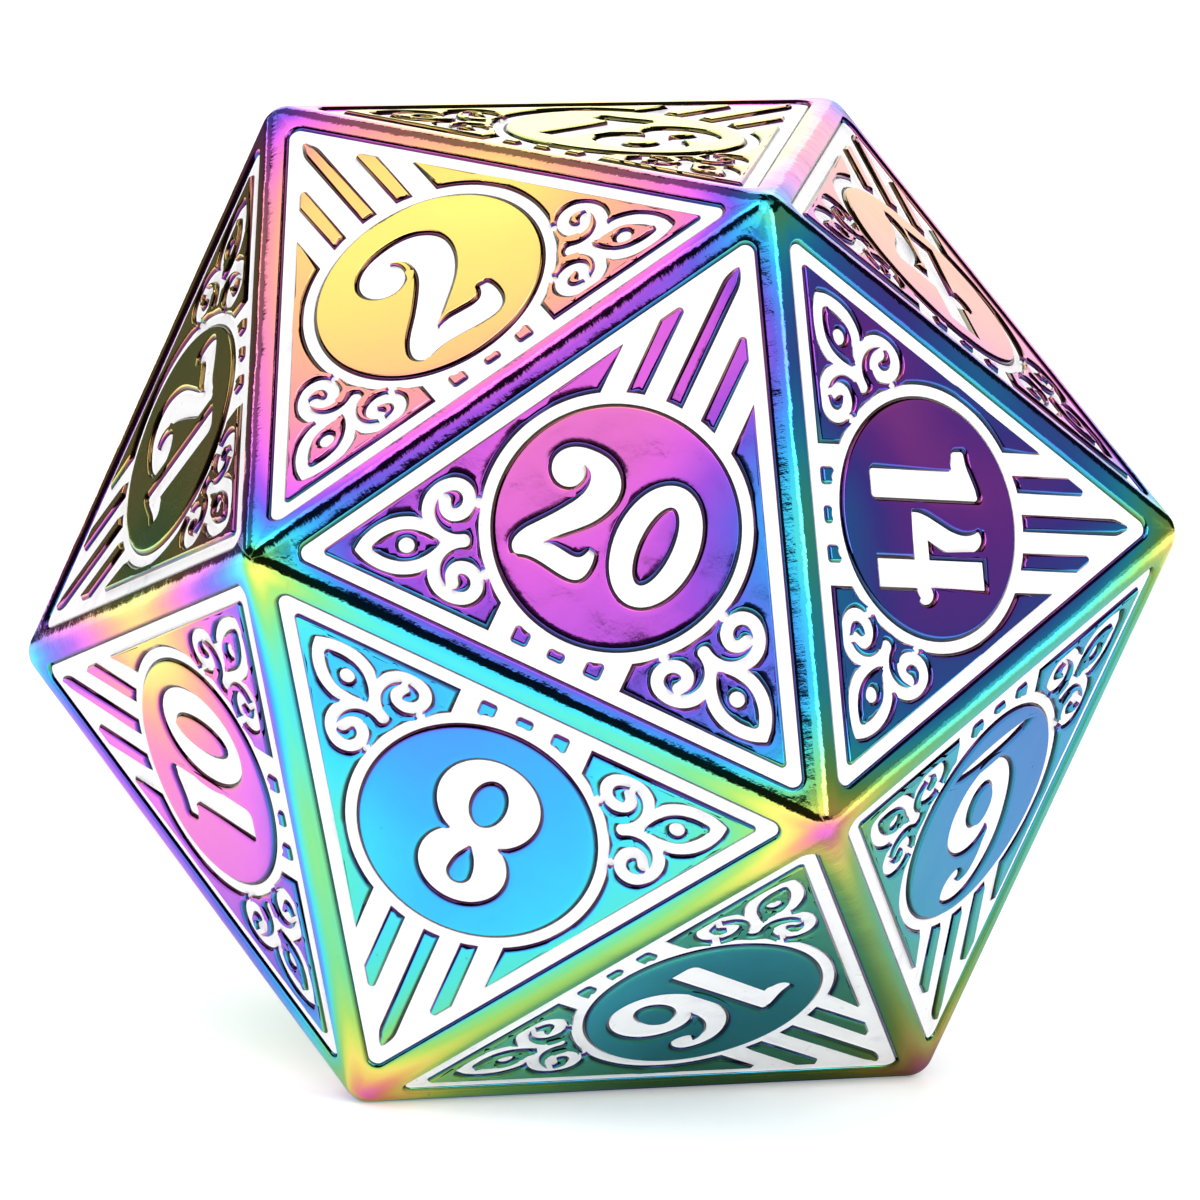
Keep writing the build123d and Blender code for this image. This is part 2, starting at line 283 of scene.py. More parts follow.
# ================================================================ meshes
class Skin:
    """A mesh in the making: rows of points with their shading normals, and triangles between them."""

    def __init__(self):
        self.points, self.normals, self.triangles, self.count = [], [], [], 0

    def row(self, points, normals):
        self.points.append(points)
        self.normals.append(np.broadcast_to(normals, points.shape))
        self.count += len(points)
        return np.arange(self.count - len(points), self.count)

    def band(self, lower, upper, closed=True):
        """Triangles between two rows; they face out where upper is on the left of lower."""
        a, b = lower, upper
        if closed:
            a2, b2 = np.roll(a, -1), np.roll(b, -1)
        else:
            a, a2, b, b2 = a[:-1], a[1:], b[:-1], b[1:]
        self.triangles += [np.stack([a, a2, b2], 1), np.stack([a, b2, b], 1)]

    def fill(self, rows, flat_rows, up=True):
        """Triangles over the area between closed rows; they face up or down."""
        index, flat = np.concatenate(rows), np.concatenate(flat_rows) / FINE
        ends = np.cumsum([len(row) for row in rows])
        after = np.arange(1, len(flat) + 1)
        after[ends - 1] = np.concatenate([[0], ends[:-1]])
        borders = list(enumerate(after.tolist()))
        filled = delaunay_2d_cdt([Vector(p) for p in flat], borders, [], 1, FILL_TOLERANCE)
        origin = np.array(
            [
                found[0] if found else np.hypot(*(flat - place).T).argmin()
                for place, found in zip(filled[0], filled[3])
            ]
        )
        made = origin[np.array(filled[2])]
        made = made[inside(flat[made].mean(axis=1), flat, flat[after])]
        made = made[(made != np.roll(made, 1, axis=1)).all(axis=1)]
        if not up:
            made = made[:, ::-1]
        self.triangles.append(index[made])

    def build(self, name):
        mesh = bpy.data.meshes.new(name)
        points = np.concatenate(self.points)
        mesh.from_pydata(points, [], np.concatenate(self.triangles).tolist())
        mesh.shade_smooth()
        normals = np.concatenate(self.normals)
        normals = normals / np.linalg.norm(normals, axis=1)[:, None]
        mesh.normals_split_custom_set_from_vertices(normals.tolist())
        piece = bpy.data.objects.new(name, mesh)
        bpy.context.scene.collection.objects.link(piece)
        return piece


# ================================================================ the twenty faces
face_level = (cad_high.z - cad_low.z) / 2
face_numbers = range(1, 21)
normals = {k: outward_normal(f"face_{k:02d}_trim_enamel") for k in face_numbers}


def sharp_corners():
    """The corners that the twenty flat faces would meet in without rounding, each with its five faces."""
    every = np.array([normals[k] for k in face_numbers])
    found = {}
    for three in combinations(range(len(every)), 3):
        planes = every[list(three)]
        if abs(np.linalg.det(planes)) < ALMOST_FLAT:
            continue
        corner = np.linalg.solve(planes, np.full(3, face_level))
        heights = every @ corner
        if heights.max() < face_level * (1 + MEETING):
            key = tuple(np.round(corner / MM, 2) + 0.0)
            meeting = [k for k, h in zip(face_numbers, heights) if h > face_level * (1 - MEETING)]
            found[key] = (corner, meeting)
    return list(found.values())


corners = sharp_corners()
corner_faces = {v: faces for v, (_, faces) in enumerate(corners)}
ball_centres = {
    v: point * (face_level - RIDGE_RADIUS) / face_level for v, (point, _) in enumerate(corners)
}


class Face:
    """One face with the outlines of its fillings."""

    def __init__(self, number):
        self.number = number
        self.normal = normals[number]
        self.plane = FacePlane(self.normal)
        own = [v for v, faces in corner_faces.items() if number in faces]
        a, b, c = (ball_centres[v] for v in own)
        if np.cross(b - a, c - a) @ self.normal < 0:
            own = own[::-1]
        self.corners = own
        self.trim, self.top, self.floor = self.outlines("trim")
        self.numeral, _, _ = self.outlines("numeral")
        every = self.trim + self.numeral
        places = np.concatenate([dense(outline) for outline in every])
        probes = KDTree(len(places))
        for i, (x, y) in enumerate(places):
            probes.insert((x, y, 0), i)
        probes.balance()
        for outline in every:
            outside = room_beside(outline, probes, -1)
            outline.lip = np.minimum(LIP, LIP_SHARE * outside)
            outline.shoulder = SHOULDER_SHARE * outside
            outline.shore = np.minimum(MENISCUS_WIDTH, SHORE_SHARE * room_beside(outline, probes, 1))

    def outlines(self, part):
        found, top, bottom = cap_outlines(f"face_{self.number:02d}_{part}_enamel", self.plane)
        return [Outline(points) for points in found], top, bottom

    def areas(self, outlines, wanted):
        """Groups each outer outline with its holes; wanted is 1 where the outer ones run anticlockwise."""
        outer = [o for o in outlines if signed_area(o.points) * wanted > 0]
        outer.sort(key=lambda o: abs(signed_area(o.points)))
        groups = {id(o): [o] for o in outer}
        spare = []
        for o in outlines:
            if signed_area(o.points) * wanted < 0:
                around = [p for p in outer if holds(p, o)]
                around = [p for p in around if abs(signed_area(p.points)) > abs(signed_area(o.points))]
                (groups[id(around[0])] if around else spare).append(o)
        return list(groups.values()), spare


faces = {k: Face(k) for k in face_numbers}


# ================================================================ the casting's mesh
def slerp(a, b, t):
    angle = math.acos(np.clip(a @ b, -1, 1))
    return (math.sin((1 - t) * angle) * a + math.sin(t * angle) * b) / math.sin(angle)


def sides_of(face):
    """A face's three sides, each as the corners at its ends."""
    return zip(face.corners, face.corners[1:] + face.corners[:1])


def add_rim(skin, face, side_rows):
    """The edge of a face's flat metal; side_rows gets the row along each side, in both directions."""
    rim = []
    for a, b in sides_of(face):
        t = np.arange(RIDGE_STEPS_ALONG)[:, None] / RIDGE_STEPS_ALONG
        start, end = (ball_centres[v] + RIDGE_RADIUS * face.normal for v in (a, b))
        rim.append(start + (end - start) * t)
    rim = np.concatenate(rim)
    rim_row = skin.row(rim, face.normal)
    for i, (a, b) in enumerate(sides_of(face)):
        along = np.arange(RIDGE_STEPS_ALONG + 1) + i * RIDGE_STEPS_ALONG
        side_rows[face.number, a, b] = rim_row[along % len(rim_row)]
        side_rows[face.number, b, a] = side_rows[face.number, a, b][::-1]
    return rim_row, face.plane.flat(rim)


def add_pocket_edge(skin, face, outline):
    """The shoulder, the lip and the wall of a pocket; gives its first row, also flat, and its last."""
    plane, normal = face.plane, face.normal
    shoulder = outline.moved(-outline.shoulder)
    outer = skin.row(plane.place(shoulder, face_level), normal)
    lip_edge = plane.place(outline.moved(-outline.lip), face_level)
    unevenness = np.array([noise(Vector(p) / SHOULDER_WAVE) for p in lip_edge])
    slope = SHOULDER_SLOPE * (1 + SHOULDER_UNEVEN * unevenness)
    fall = (outline.shoulder - outline.lip) * np.tan(slope / 2)
    upper = skin.row(lip_edge - fall[:, None] * normal, plane.tilt(outline.left, slope))
    into_pocket = plane.tilt(outline.left, math.pi / 2)
    turned = skin.row(plane.place(outline.points, face_level - outline.lip), into_pocket)
    foot = skin.row(plane.place(outline.points, face.floor), into_pocket)
    skin.band(outer, upper)
    skin.band(upper, turned)
    skin.band(turned, foot)
    return outer, shoulder, foot


def add_face(skin, face, side_rows):
    """A face's flat metal with its pockets."""
    rim_row, flat_rim = add_rim(skin, face, side_rows)
    outlines = face.trim + face.numeral
    edges = {id(outline): add_pocket_edge(skin, face, outline) for outline in outlines}
    islands, in_rim = face.areas(outlines, -1)
    for group in islands:
        skin.fill([edges[id(o)][0] for o in group], [edges[id(o)][1] for o in group])
    rows = [edges[id(o)][0] for o in in_rim] + [rim_row]
    skin.fill(rows, [edges[id(o)][1] for o in in_rim] + [flat_rim])
    floors, _ = face.areas(outlines, 1)
    for group in floors:
        skin.fill([edges[id(o)][2] for o in group], [o.points for o in group])


def add_ridges(skin, side_rows):
    """The rounded ridges; gives the arcs in which they end at the corners."""
    arcs = {}
    for v, w in combinations(corner_faces, 2):
        shared = [k for k in corner_faces[v] if k in corner_faces[w]]
        if len(shared) != 2:
            continue
        one, other = shared
        sides = faces[one].corners
        if sides[(sides.index(v) + 1) % 3] == w:
            one, other = other, one
        t = np.arange(RIDGE_STEPS_ALONG + 1)[:, None] / RIDGE_STEPS_ALONG
        axis = ball_centres[v] + (ball_centres[w] - ball_centres[v]) * t
        rows = [side_rows[one, v, w]]
        for j in range(1, RIDGE_STEPS_ROUND):
            way = slerp(normals[one], normals[other], j / RIDGE_STEPS_ROUND)
            rows.append(skin.row(axis + RIDGE_RADIUS * way, way))
        rows.append(side_rows[other, v, w])
        for lower, upper in zip(rows, rows[1:]):
            skin.band(lower, upper, closed=False)
        for end, at in ((v, 0), (w, -1)):
            arc = [row[at] for row in rows]
            arcs[end, one, other] = arc
            arcs[end, other, one] = arc[::-1]
    return arcs


def add_corner(skin, v, around, arcs):
    """The rounded corner where five faces meet."""
    ring_faces = [around[0]]
    while len(ring_faces) < len(around):
        beside = (k for k in around if (v, ring_faces[-1], k) in arcs)
        ring_faces.append(next(k for k in beside if k not in ring_faces))
    ring = np.concatenate(
        [arcs[v, k, m][:-1] for k, m in zip(ring_faces, ring_faces[1:] + ring_faces[:1])]
    )
    centre = ball_centres[v]
    up = centre / np.linalg.norm(centre)
    everything = np.concatenate(skin.points)
    first = (everything[ring] - centre) / RIDGE_RADIUS
    if np.cross(first[0], first[1]) @ up < 0:
        ring, first = ring[::-1], first[::-1]
    for i in range(1, CORNER_RINGS):
        way = first + (up - first) * i / CORNER_RINGS
        way /= np.linalg.norm(way, axis=1)[:, None]
        inner = skin.row(centre + RIDGE_RADIUS * way, way)
        skin.band(ring, inner)
        ring = inner
    tip = skin.row((centre + RIDGE_RADIUS * up)[None], up[None])
    skin.triangles.append(np.stack([ring, np.roll(ring, -1), np.full(len(ring), tip[0])], axis=1))


def build_casting():
    """The metal: flat faces with their pockets, ridges and corners, in one mesh."""
    skin = Skin()
    side_rows = {}
    for face in faces.values():
        add_face(skin, face, side_rows)
    arcs = add_ridges(skin, side_rows)
    for corner, around in corner_faces.items():
        add_corner(skin, corner, around, arcs)
    piece = skin.build("casting")
    run = piece.data.attributes.new(ALONG_RIDGE, "FLOAT", "POINT")
    run.data.foreach_set("value", along_nearest_ridge(np.concatenate(skin.points)))
    return piece


def along_nearest_ridge(points):
    """How far each point lies along the ridge that is nearest to it."""
    every = np.array([normals[k] for k in face_numbers])
    nearest = np.sort(np.argsort(points @ every.T, axis=1)[:, -2:], axis=1)
    ridge = np.cross(every[nearest[:, 0]], every[nearest[:, 1]])
    return (points * ridge).sum(axis=1) / np.linalg.norm(ridge, axis=1)


# ================================================================ the fillings' meshes
def build_filling(face, outlines, name):
    """White enamel: flat in the middle, drawn up a little along the pocket's walls."""
    skin = Skin()
    plane = face.plane
    rows = {}
    for outline in outlines:
        shore = outline.moved(outline.shore)
        inner = skin.row(plane.place(shore, face.top), face.normal)
        wall = outline.moved(-BITE)
        rise = MENISCUS_RISE * outline.shore / MENISCUS_WIDTH
        crest = skin.row(
            plane.place(wall, face.top + rise), plane.tilt(outline.left, MENISCUS_SLOPE)
        )
        foot = skin.row(plane.place(wall, face.floor), plane.tilt(-outline.left, math.pi / 2))
        skin.band(crest, inner)
        skin.band(foot, crest)
        rows[id(outline)] = (inner, shore, foot, wall)
    groups, _ = face.areas(outlines, 1)
    for group in groups:
        skin.fill([rows[id(o)][0] for o in group], [rows[id(o)][1] for o in group])
        skin.fill([rows[id(o)][2] for o in group], [rows[id(o)][3] for o in group], up=False)
    return skin.build(name)


casting = build_casting()
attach(casting, "root")
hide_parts("die_body")

fillings = []
for number, face in faces.items():
    for part, outlines in (("trim", face.trim), ("numeral", face.numeral)):
        filling = build_filling(face, outlines, f"{part}_filling_{number:02d}")
        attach(filling, "root")
        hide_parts(f"face_{number:02d}_{part}_enamel")
        fillings.append(filling)


# ================================================================ materials
class Graph:
    """A material's node tree, with each kind of node that the die's finishes use as one call."""

    def __init__(self, name):
        self.material = bpy.data.materials.new(name)
        self.material.use_nodes = True
        self.tree = self.material.node_tree
        self.shader = self.tree.nodes["Principled BSDF"]

    def node(self, kind, **settings):
        made = self.tree.nodes.new(f"ShaderNode{kind}")
        for key, value in settings.items():
            setattr(made, key, value)
        return made

    def feed(self, socket, value):
        if isinstance(value, bpy.types.NodeSocket):
            self.tree.links.new(value, socket)
        else:
            socket.default_value = value

    def math(self, operation, *values):
        made = self.node("Math", operation=operation)
        for socket, value in zip(made.inputs, values):
            self.feed(socket, value)
        return made.outputs[0]

    def vector(self, operation, *values):
        made = self.node("VectorMath", operation=operation)
        for socket, value in zip(made.inputs, values):
            self.feed(socket, value)
        return made.outputs["Value" if operation in ("DOT_PRODUCT", "LENGTH") else "Vector"]

    def total(self, *values):
        result = values[0]
        for value in values[1:]:
            result = self.math("ADD", result, value)
        return result

    def scaled(self, value, factor):
        return self.math("MULTIPLY", value, factor)

    def object_place(self):
        return self.node("TexCoord").outputs["Object"]

    def noise(self, place, size, detail, roughness):
        """Smooth noise with features of a size, from -1 to 1."""
        made = self.node("TexNoise", normalize=True)
        self.feed(made.inputs["Vector"], place)
        self.feed(made.inputs["Scale"], 1 / size)
        self.feed(made.inputs["Detail"], detail)
        self.feed(made.inputs["Roughness"], roughness)
        return self.math("MULTIPLY_ADD", made.outputs["Fac"], 2.0, -1.0)

    def noises(self, place, layers):
        """Noises added up, each given by its size, detail, roughness and weight."""
        return self.total(*(self.scaled(self.noise(place, *kind), weight) for *kind, weight in layers))

    def dots(self, place, spacing, radius):
        """1 at the middle of scattered round specks, 0 away from them."""
        made = self.node("TexVoronoi")
        self.feed(made.inputs["Vector"], place)
        self.feed(made.inputs["Scale"], 1 / spacing)
        return self.spread(made.outputs["Distance"], radius / spacing, 0.0)

    def spread(self, value, low, high):
        """A smooth step: 0 at low and 1 at high."""
        made = self.node("MapRange", interpolation_type="SMOOTHSTEP")
        for name, given in (("Value", value), ("From Min", low), ("From Max", high)):
            self.feed(made.inputs[name], given)
        return made.outputs["Result"]

    def ramp(self, value, stops):
        made = self.node("ValToRGB")
        elements = made.color_ramp.elements
        while len(elements) < len(stops):
            elements.new(0.5)
        for element, (position, colour) in zip(elements, stops):
            element.position, element.color = position, rgb(*colour)
        self.feed(made.inputs["Fac"], value)
        return made.outputs["Color"]

    def mix(self, share, one, other):
        made = self.node("Mix", data_type="RGBA")
        self.feed(made.inputs["Factor"], share)
        self.feed(made.inputs["A"], one)
        self.feed(made.inputs["B"], other)
        return made.outputs["Result"]

    def bump(self, height, depth):
        """A bump whose height is given in units of a depth in metres."""
        made = self.node("Bump")
        self.feed(made.inputs["Height"], height)
        made.inputs["Distance"].default_value = depth
        self.feed(self.shader.inputs["Normal"], made.outputs["Normal"])


def rgb(red, green, blue):
    """A colour given in screen values of 0 to 255."""
    screen = (red / 255, green / 255, blue / 255)
    return (*(c / 12.92 if c <= 0.04045 else ((c + 0.055) / 1.055) ** 2.4 for c in screen), 1)


# The film's thickness decides the plating's colour. Noise is given by its size, detail and roughness,
# and in a list also by its weight; stains, tarnish and painted shade by their strength and colour; and
# heights and depths of the relief in units of BUMP_DEPTH.
FILM_BASE = -0.07
FILM_FACING = (0.34, -0.72, -0.05)  # by the x, y and z of the surface's direction
FILM_FACING_SQUARED = (0.11, -0.18, 0.06)
FILM_FACING_CROSSED = (0.21, 0.45, -0.12)  # by x*y, y*z and z*x
FILM_DRIFT = (0.07, -0.09, -0.17)  # across each face
FILM_OUTSIDE_MEDALLION = 0.055
MEDALLION_REACH = (0.055, 0.09)  # where it starts and is full, as squares of the way from a face's middle
FILM_AT_RIDGE = 0.10
RIDGE_BUILD_UP = 0.45 * MM  # width of the thicker film beside a ridge
FILM_AT_CORNER = 0.50
CORNER_POWER = 2.4
FILM_SPOTS = [  # thinner or thicker at the ridge between two faces: the faces, the amount, the reach
    ((12, 10), -0.27, 0.42),
    ((14, 4), 0.11, 0.30),
    ((20, 14), 0.19, 0.40),
    ((10, 8), 0.09, 0.36),
    ((2, 18), -0.05, 0.30),
]
FILM_UNEVEN = [(3.5 * MM, 3.0, 0.5, 0.014), (0.7 * MM, 3.0, 0.5, 0.007)]
FILM_COLOURS = [
    (0.00, (253, 232, 120)),
    (0.06, (252, 212, 116)),
    (0.11, (250, 180, 128)),
    (0.17, (246, 152, 150)),
    (0.24, (236, 124, 188)),
    (0.32, (226, 104, 226)),
    (0.39, (164, 84, 224)),
    (0.46, (108, 96, 226)),
    (0.53, (78, 140, 242)),
    (0.59, (64, 176, 252)),
    (0.65, (66, 214, 246)),
    (0.71, (90, 224, 204)),
    (0.79, (126, 220, 146)),
    (0.87, (170, 222, 112)),
    (0.94, (222, 234, 108)),
    (1.00, (253, 232, 120)),
]


RECESS_START = 0.006 * MM  # depths at which the painted shade in the recesses starts and is full
RECESS_FULL = 0.06 * MM
# painted shade: the dark colour that the pockets' lips and walls are mixed towards
RECESS_PAINTED_SHADE = (0.86, rgb(52, 36, 40))
STAIN_NOISE = (0.25 * MM, 4.0, 0.65)
STAIN_SPREAD = (0.25, 0.8)
STAIN = (0.22, rgb(70, 52, 60))
PIT_SPACING = 1.3 * MM
PIT_RADIUS = 0.06 * MM
PIT_TARNISH = (0.6, rgb(40, 32, 40))
PIT_DEPTH = -0.5
SCRATCH_NOISE = (0.6 * MM, 2.0, 0.5)
SCRATCH_STRETCH = (9.0, 9.0, 1.0)
SCRATCH_SPREAD = (0.3, 0.8)
SCRATCH_ROUGHNESS = 0.08
SCRATCH_HEIGHT = 0.02
METAL_ROUGHNESS = 0.09
METAL_ROUGHNESS_UNEVEN = [(1.2 * MM, 4.0, 0.6, 0.05)]
METAL_WAVES = [(1.8 * MM, 2.0, 0.5, 0.6), (0.3 * MM, 4.0, 0.6, 0.04)]
RIDGE_WAVES = [(1.4 * MM, 1.0, 0.5, 1.5), (0.3 * MM, 4.0, 0.6, 0.24)]
RIDGE_HATCHING = [(0.7 * MM, 3.0, 0.6, 0.09)]  # short marks across the ridges
HATCHING_STRETCH = 8.0
BUMP_DEPTH = 0.02 * MM


def ridge_and_recess(graph, unit_place):
    """How near a ridge is, 1 on it, and how deep a point lies under its face, 1 at the foot of a lip."""
    axes = []
    for number in face_numbers:
        if not any(abs(normals[number] @ axis) > PARALLEL for axis in axes):
            axes.append(normals[number])
    first = second = None
    for axis in axes:
        height = graph.math("ABSOLUTE", graph.vector("DOT_PRODUCT", unit_place, tuple(axis)))
        if first is None:
            first, second = height, 0.0
        else:
            second = graph.math("MAXIMUM", second, graph.math("MINIMUM", first, height))
            first = graph.math("MAXIMUM", first, height)
    ridge_turn = math.acos(np.sort([axes[0] @ n for n in normals.values()])[-2])
    fall = math.sin(ridge_turn) * RIDGE_BUILD_UP / face_level
    gap = graph.math("DIVIDE", graph.math("SUBTRACT", first, second), fall)
    near_ridge = graph.math("EXPONENT", graph.scaled(graph.math("MULTIPLY", gap, gap), -1.0))
    depth = graph.math("SUBTRACT", 1.0, first)
    recess = graph.spread(depth, RECESS_START / face_level, RECESS_FULL / face_level)
    return near_ridge, graph.math("MULTIPLY", recess, graph.math("SUBTRACT", 1.0, near_ridge))


def film_at_spots(graph, unit_place):
    """The amount that each spot adds to the film."""
    spots = []
    for (one, other), amount, reach in FILM_SPOTS:
        on_ridge = normals[one] + normals[other]
        on_ridge /= on_ridge @ normals[one]
        away = graph.vector("LENGTH", graph.vector("SUBTRACT", unit_place, tuple(on_ridge)))
        spots.append(graph.scaled(graph.spread(away, reach, 0.0), amount))
    return spots


def film_thickness(graph, place, unit_place, near_ridge):
    """How thick the film is; a whole number more goes once round the colours."""
    facing = graph.node("TexCoord").outputs["Normal"]
    split = graph.node("SeparateXYZ")
    graph.feed(split.inputs[0], facing)
    x, y, z = split.outputs
    turned = graph.node("CombineXYZ")
    for socket, value in zip(turned.inputs, (y, z, x)):
        graph.feed(socket, value)
    squares = graph.vector("MULTIPLY", facing, facing)
    products = graph.vector("MULTIPLY", facing, turned.outputs[0])
    drift = graph.vector("SUBTRACT", unit_place, facing)
    reach = graph.vector("DOT_PRODUCT", unit_place, unit_place)
    corner_reach = (np.linalg.norm(corners[0][0]) / face_level) ** 2
    towards_corner = graph.math("DIVIDE", graph.math("SUBTRACT", reach, 1.0), corner_reach - 1)
    corner = graph.math("POWER", graph.math("MAXIMUM", towards_corner, 0.0), CORNER_POWER)
    outside = graph.spread(graph.math("SUBTRACT", reach, 1.0), *MEDALLION_REACH)
    return graph.total(
        FILM_BASE,
        *film_at_spots(graph, unit_place),
        graph.vector("DOT_PRODUCT", facing, FILM_FACING),
        graph.vector("DOT_PRODUCT", squares, FILM_FACING_SQUARED),
        graph.vector("DOT_PRODUCT", products, FILM_FACING_CROSSED),
        graph.vector("DOT_PRODUCT", drift, FILM_DRIFT),
        graph.scaled(outside, FILM_OUTSIDE_MEDALLION),
        graph.scaled(near_ridge, FILM_AT_RIDGE),
        graph.scaled(corner, FILM_AT_CORNER),
        graph.noises(place, FILM_UNEVEN),
    )


def plated_metal():
    graph = Graph("rainbow_plating")
    place = graph.object_place()
    unit_place = graph.vector("MULTIPLY", place, (1 / face_level,) * 3)
    near_ridge, recess = ridge_and_recess(graph, unit_place)
    film = graph.math("FRACT", film_thickness(graph, place, unit_place, near_ridge))
    colour = graph.ramp(film, FILM_COLOURS)
    pits = graph.dots(place, PIT_SPACING, PIT_RADIUS)
    stained = graph.spread(graph.noise(place, *STAIN_NOISE), *STAIN_SPREAD)
    # the recess mix is painted shade, which darkens the lips and walls of the pockets
    for where, (strength, tint) in ((stained, STAIN), (pits, PIT_TARNISH), (recess, RECESS_PAINTED_SHADE)):
        colour = graph.mix(graph.scaled(where, strength), colour, tint)
    graph.feed(graph.shader.inputs["Base Color"], colour)
    graph.shader.inputs["Metallic"].default_value = 1.0
    scratches = graph.noise(graph.vector("MULTIPLY", place, SCRATCH_STRETCH), *SCRATCH_NOISE)
    roughness = graph.total(
        graph.noises(place, METAL_ROUGHNESS_UNEVEN),
        graph.scaled(graph.spread(scratches, *SCRATCH_SPREAD), SCRATCH_ROUGHNESS),
        METAL_ROUGHNESS,
    )
    graph.feed(graph.shader.inputs["Roughness"], roughness)
    run = graph.node("Attribute", attribute_name=ALONG_RIDGE).outputs["Fac"]
    shift = graph.node("CombineXYZ")
    graph.feed(shift.inputs[0], graph.scaled(run, HATCHING_STRETCH))
    drawn_out = graph.vector("ADD", place, shift.outputs[0])
    on_ridge = graph.total(graph.noises(place, RIDGE_WAVES), graph.noises(drawn_out, RIDGE_HATCHING))
    height = graph.total(
        graph.noises(place, METAL_WAVES),
        graph.math("MULTIPLY", near_ridge, on_ridge),
        graph.scaled(scratches, SCRATCH_HEIGHT),
        graph.scaled(pits, PIT_DEPTH),
    )
    graph.bump(height, BUMP_DEPTH)
    return graph.material


ENAMEL_COLOUR = rgb(247, 246, 247)
ENAMEL_THIN = (0.8, rgb(214, 208, 224))
THIN_NOISE = (0.9 * MM, 4.0, 0.6)
THIN_SPREAD = (0.05, 0.75)
SPECK_SPACING = 0.42 * MM
SPECK_RADIUS = 0.03 * MM
SPECK = (0.5, rgb(150, 140, 150))
SPECK_DEPTH = -0.5
ENAMEL_ROUGHNESS = 0.3
ENAMEL_ROUGHNESS_UNEVEN = [(0.4 * MM, 3.0, 0.5, 0.08)]
ENAMEL_WAVES = [(0.5 * MM, 3.0, 0.5, 0.4), (0.08 * MM, 3.0, 0.5, 0.12)]


def white_enamel():
    graph = Graph("white_enamel")
    place = graph.object_place()
    thin = graph.spread(graph.noise(place, *THIN_NOISE), *THIN_SPREAD)
    specks = graph.dots(place, SPECK_SPACING, SPECK_RADIUS)
    colour = ENAMEL_COLOUR
    for where, (strength, tint) in ((thin, ENAMEL_THIN), (specks, SPECK)):
        colour = graph.mix(graph.scaled(where, strength), colour, tint)
    graph.feed(graph.shader.inputs["Base Color"], colour)
    roughness = graph.total(graph.noises(place, ENAMEL_ROUGHNESS_UNEVEN), ENAMEL_ROUGHNESS)
    graph.feed(graph.shader.inputs["Roughness"], roughness)
    height = graph.total(graph.noises(place, ENAMEL_WAVES), graph.scaled(specks, SPECK_DEPTH))
    graph.bump(height, BUMP_DEPTH)
    return graph.material


casting.data.materials.append(plated_metal())
enamel = white_enamel()
for filling in fillings:
    filling.data.materials.append(enamel)


# ================================================================ floor, light and camera
WHITE = rgb(255, 255, 255)
FLOOR_COLOUR = rgb(246, 246, 247)
FLOOR_RADIUS = 250 * MM
FLOOR_GLOW = 0.25  # makes the die's shadow on the floor paler
FLOOR_ROUGHNESS = 0.7
FLOOR_GLOSS = 0.1
ROUND_SIDES = 96
CARD_LEVEL = cad_low.z + 0.01 * MM  # just above the floor
CARD_ROUGHNESS = 0.9
# painted shade for the reflections: the dark foreground stands for the unlit room
DARK_COLOUR = rgb(14, 14, 14)
DARK_NEAR = 78 * MM  # from the die's middle to the dark foreground's edges
DARK_FAR = 250 * MM
DARK_HALF_WIDTH = 240 * MM
SHADES = [  # on the floor: the middle, the half sizes, how dark, and where it fades
    ((4 * MM, -2 * MM), (8 * MM, 7 * MM), 0.72, (0.2, 1.15)),
    ((20 * MM, 10 * MM), (26 * MM, 20 * MM), 0.45, (0.5, 1.1)),
]
SHADED_RADIUS = 55 * MM
ROOM_LIGHT = 0.78
ROOM_SEEN_IN_METAL = 0.012
LIGHT_DISTANCE = 900 * MM
LIGHTS = [  # azimuth and elevation, width and height in degrees, and brightness, 1 for white
    ("overhead", (-60, 76), (36, 36), 1.3),
    ("left_panel", (168, 56), (23, 43.6), 1.25),
    ("left_high_panel", (-160, 57), (14, 40), 1.9),
    ("front_panel", (-84, 46), (25, 40.4), 1.05),
    ("front_right_panel", (-56, 38), (24, 46), 1.05),
    ("front_strip", (-34.5, 32), (13, 34), 3.2),
    ("right_panel", (6, 22), (66, 28), 0.26),
    ("low_right_panel", (18, 2), (60, 10), 0.6),
    ("back_panel", (102, 15), (28, 38), 1.6),
    ("back_right_panel", (82, 8), (12, 24), 1.1),
    ("back_left_panel", (126, 42), (26, 44), 0.28),
    ("left_low_panel", (136, 4), (40, 18), 0.075),
    ("left_lower_panel", (146, 26), (28, 14), 0.3),
    ("left_strip", (146.5, 17), (24, 2.6), 2.4),
]
CAMERA_AZIMUTH = -83.97
CAMERA_ELEVATION = 11.65
CAMERA_DISTANCE = 272.2 * MM
CAMERA_ROLL = 3.34
CAMERA_TARGET = Vector((0.04, -0.03, -0.15)) * MM
LENS = 382.5
NEAREST_SEEN = 10 * MM


def circle(radius):
    return radius * unit(np.linspace(0, 2 * math.pi, ROUND_SIDES, endpoint=False))


def flat_sheet(name, outline, level, material):
    """One level polygon."""
    mesh = bpy.data.meshes.new(name)
    mesh.from_pydata([(x, y, level) for x, y in outline], [], [range(len(outline))])
    mesh.materials.append(material)
    sheet = bpy.data.objects.new(name, mesh)
    bpy.context.scene.collection.objects.link(sheet)
    return sheet


def matt(name, roughness, gloss):
    """A new material's graph with an even roughness and gloss."""
    graph = Graph(name)
    graph.shader.inputs["Roughness"].default_value = roughness
    graph.shader.inputs["Specular IOR Level"].default_value = gloss
    return graph


def build_floor():
    graph = matt("pale_floor", FLOOR_ROUGHNESS, FLOOR_GLOSS)
    graph.shader.inputs["Base Color"].default_value = FLOOR_COLOUR
    graph.shader.inputs["Emission Color"].default_value = WHITE
    graph.shader.inputs["Emission Strength"].default_value = FLOOR_GLOW
    floor = flat_sheet("floor", circle(FLOOR_RADIUS), cad_low.z, graph.material)


